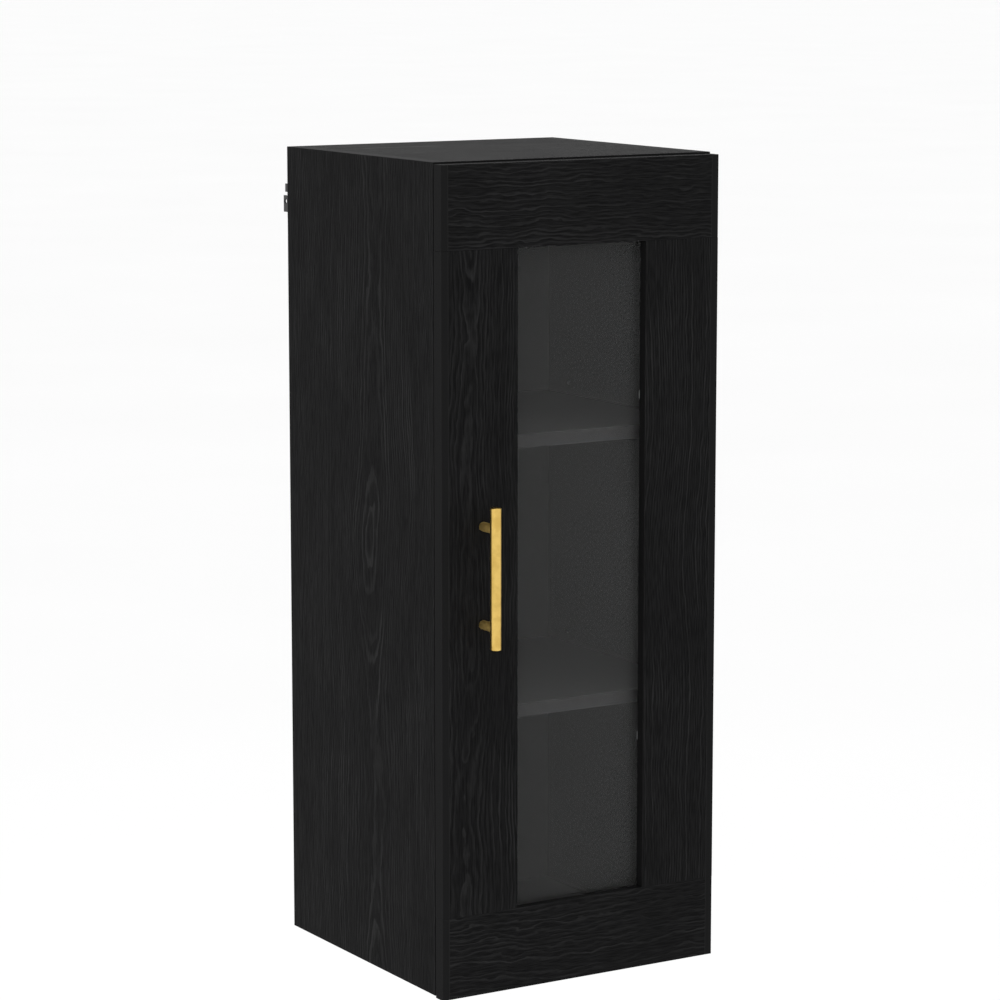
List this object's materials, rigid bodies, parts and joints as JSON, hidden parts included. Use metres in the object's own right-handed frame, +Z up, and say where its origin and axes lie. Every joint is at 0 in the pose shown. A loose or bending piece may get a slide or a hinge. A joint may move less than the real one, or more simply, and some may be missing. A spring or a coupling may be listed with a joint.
{
  "type": "hanging wall cabinet",
  "caption": "Tall narrow wall-hung cabinet with a framed glass door, a bar handle, inner shelves and steel wall brackets.",
  "frame": {"origin": "under the middle of the whole object, at the height of the door's lower edge", "axes": "+X to the right seen from the front, where the door's hinges are; +Y from the door to the wall; +Z up"},
  "size_m": [0.35, 0.3836, 0.9],
  "materials": {
    "black_wood": "near-black wood grain, satin",
    "inner_board": "plain dark grey board, matt",
    "glass": "clear, polished",
    "gold_metal": "brushed gold",
    "bright_steel": "nickel-plated",
    "zinc_fitting": "zinc-plated",
    "black_steel": "black powder coat",
    "clip_plastic": "pale plastic",
    "soft_pad": "soft, slightly clear"
  },
  "bodies": {
    "carcass": {"back_panel": "inner_board", "bottom_panel": "black_wood", "bracket_screw_left": "zinc_fitting", "bracket_screw_right": "zinc_fitting", "cam_bolt_bottom_left_back": "bright_steel", "cam_bolt_bottom_left_front": "bright_steel", "cam_bolt_bottom_right_back": "bright_steel", "cam_bolt_bottom_right_front": "bright_steel", "cam_bolt_top_left_back": "bright_steel", "cam_bolt_top_left_front": "bright_steel", "cam_bolt_top_right_back": "bright_steel", "cam_bolt_top_right_front": "bright_steel", "cam_lock_bottom_left_back": "zinc_fitting", "cam_lock_bottom_left_front": "zinc_fitting", "cam_lock_bottom_right_back": "zinc_fitting", "cam_lock_bottom_right_front": "zinc_fitting", "cam_lock_top_left_back": "zinc_fitting", "cam_lock_top_left_front": "zinc_fitting", "cam_lock_top_right_back": "zinc_fitting", "cam_lock_top_right_front": "zinc_fitting", "hanging_bracket_left": "black_steel", "hanging_bracket_right": "black_steel", "hinge_arm_lower": "bright_steel", "hinge_arm_upper": "bright_steel", "hinge_plate_lower": "bright_steel", "hinge_plate_upper": "bright_steel", "shelf_lower": "inner_board", "shelf_lower_pin_left_back": "bright_steel", "shelf_lower_pin_left_front": "bright_steel", "shelf_lower_pin_right_back": "bright_steel", "shelf_lower_pin_right_front": "bright_steel", "shelf_upper": "inner_board", "shelf_upper_pin_left_back": "bright_steel", "shelf_upper_pin_left_front": "bright_steel", "shelf_upper_pin_right_back": "bright_steel", "shelf_upper_pin_right_front": "bright_steel", "side_panel_left": "black_wood", "side_panel_right": "black_wood", "top_panel": "black_wood"},
    "door": {"door_bottom_rail": "black_wood", "door_bumper_lower": "soft_pad", "door_bumper_upper": "soft_pad", "door_stile_left": "black_wood", "door_stile_right": "black_wood", "door_top_rail": "black_wood", "glass_clip_left_lower": "clip_plastic", "glass_clip_left_upper": "clip_plastic", "glass_clip_right_lower": "clip_plastic", "glass_clip_right_upper": "clip_plastic", "glass_pane": "glass", "handle_bar": "gold_metal", "handle_post_lower": "gold_metal", "handle_post_upper": "gold_metal", "handle_screw_lower": "zinc_fitting", "handle_screw_upper": "zinc_fitting", "hinge_cup_lower": "bright_steel", "hinge_cup_upper": "bright_steel"},
    "link_lower": {"hinge_link_lower": "bright_steel"},
    "link_upper": {"hinge_link_upper": "bright_steel"}
  },
  "joints": [
    {"name": "door_swing", "type": "hinge", "parent": "carcass", "child": "door", "pos_m": [0.17, -0.15425, 0.449], "axis": [0, 0, 1], "range_deg": [0, 100]},
    {"name": "link_lower_turn", "type": "hinge", "parent": "carcass", "child": "link_lower", "pos_m": [0.139, -0.14025, 0.12], "axis": [0, 0, 1], "range_deg": [-17, 0]},
    {"name": "link_upper_turn", "type": "hinge", "parent": "carcass", "child": "link_upper", "pos_m": [0.139, -0.14025, 0.778], "axis": [0, 0, 1], "range_deg": [-17, 0]}
  ],
  "couplings": [
    {"joint": "link_lower_turn", "follows": "door_swing", "ratio": -0.16},
    {"joint": "link_upper_turn", "follows": "door_swing", "ratio": -0.16}
  ]
}
